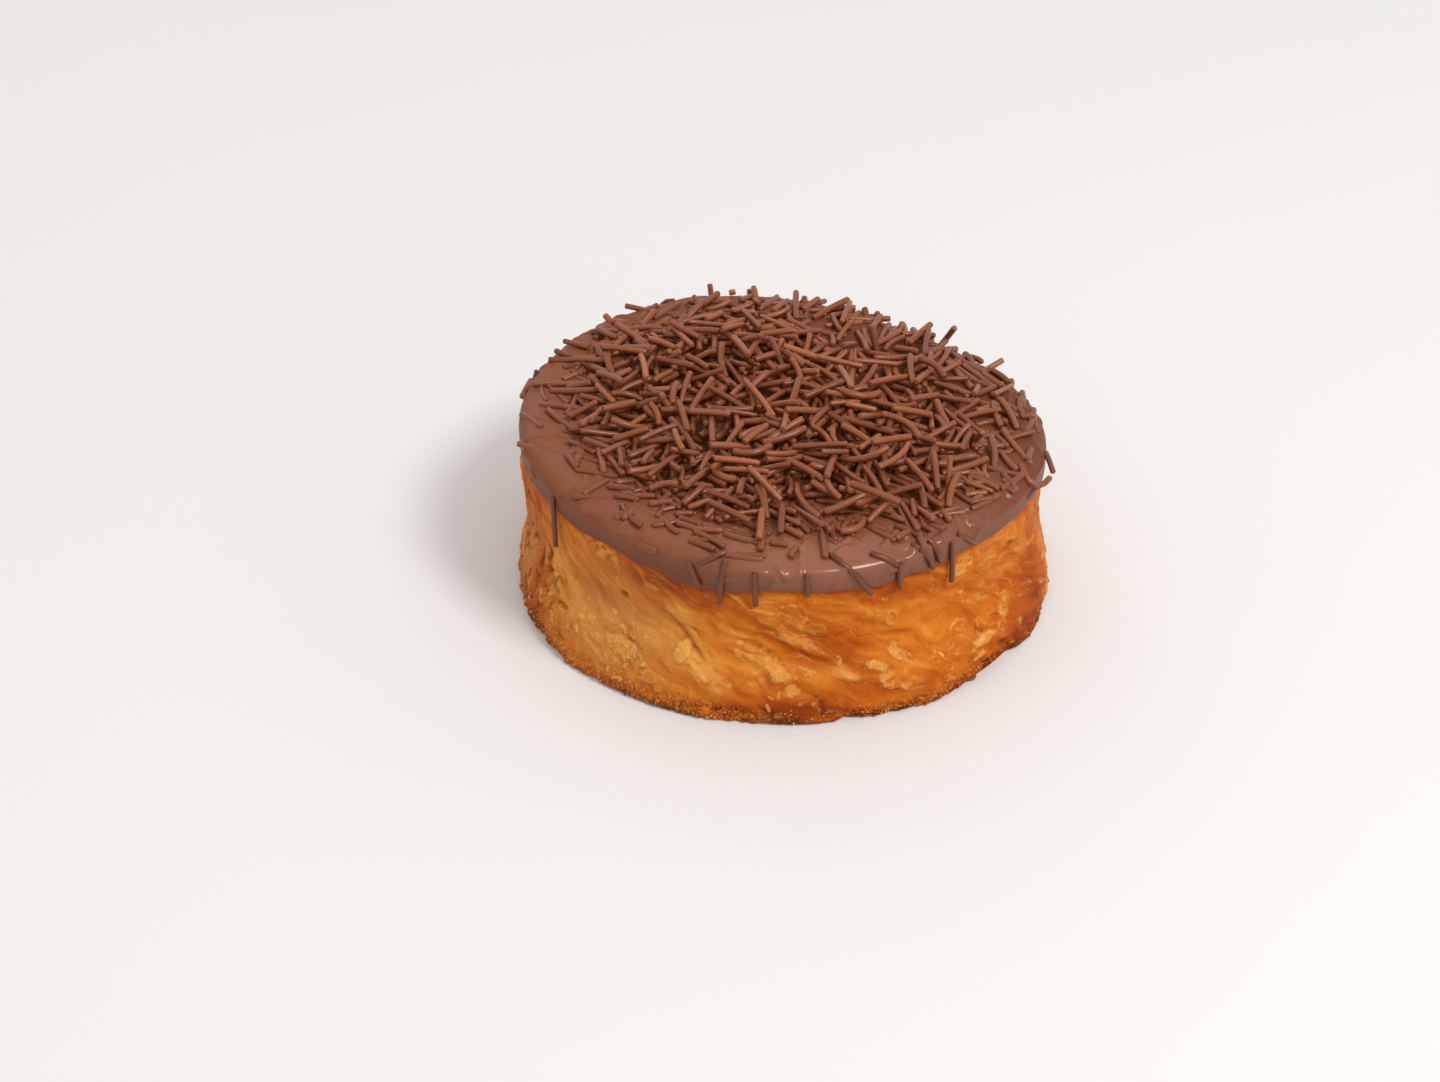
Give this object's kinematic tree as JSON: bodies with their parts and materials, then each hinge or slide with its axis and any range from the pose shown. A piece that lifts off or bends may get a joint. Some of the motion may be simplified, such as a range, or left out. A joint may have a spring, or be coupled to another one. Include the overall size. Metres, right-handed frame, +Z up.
{
  "type": "croissant roll",
  "caption": "Round baked croissant roll, low and straight-sided, with a milk chocolate iced top strewn with chocolate sprinkles.",
  "frame": {"origin": "middle of the flat underside", "axes": "+Z up out of the iced top, +X to the right and -Y to the front as the picture shows it"},
  "size_m": [0.0954, 0.0976, 0.0358],
  "materials": {
    "pastry": "golden brown laminated crust, satin, darker at the foot",
    "icing": "set milk chocolate, soft gloss"
  },
  "bodies": {
    "root": {"pastry_body": "pastry", "chocolate_icing": "icing"}
  },
  "joints": []
}
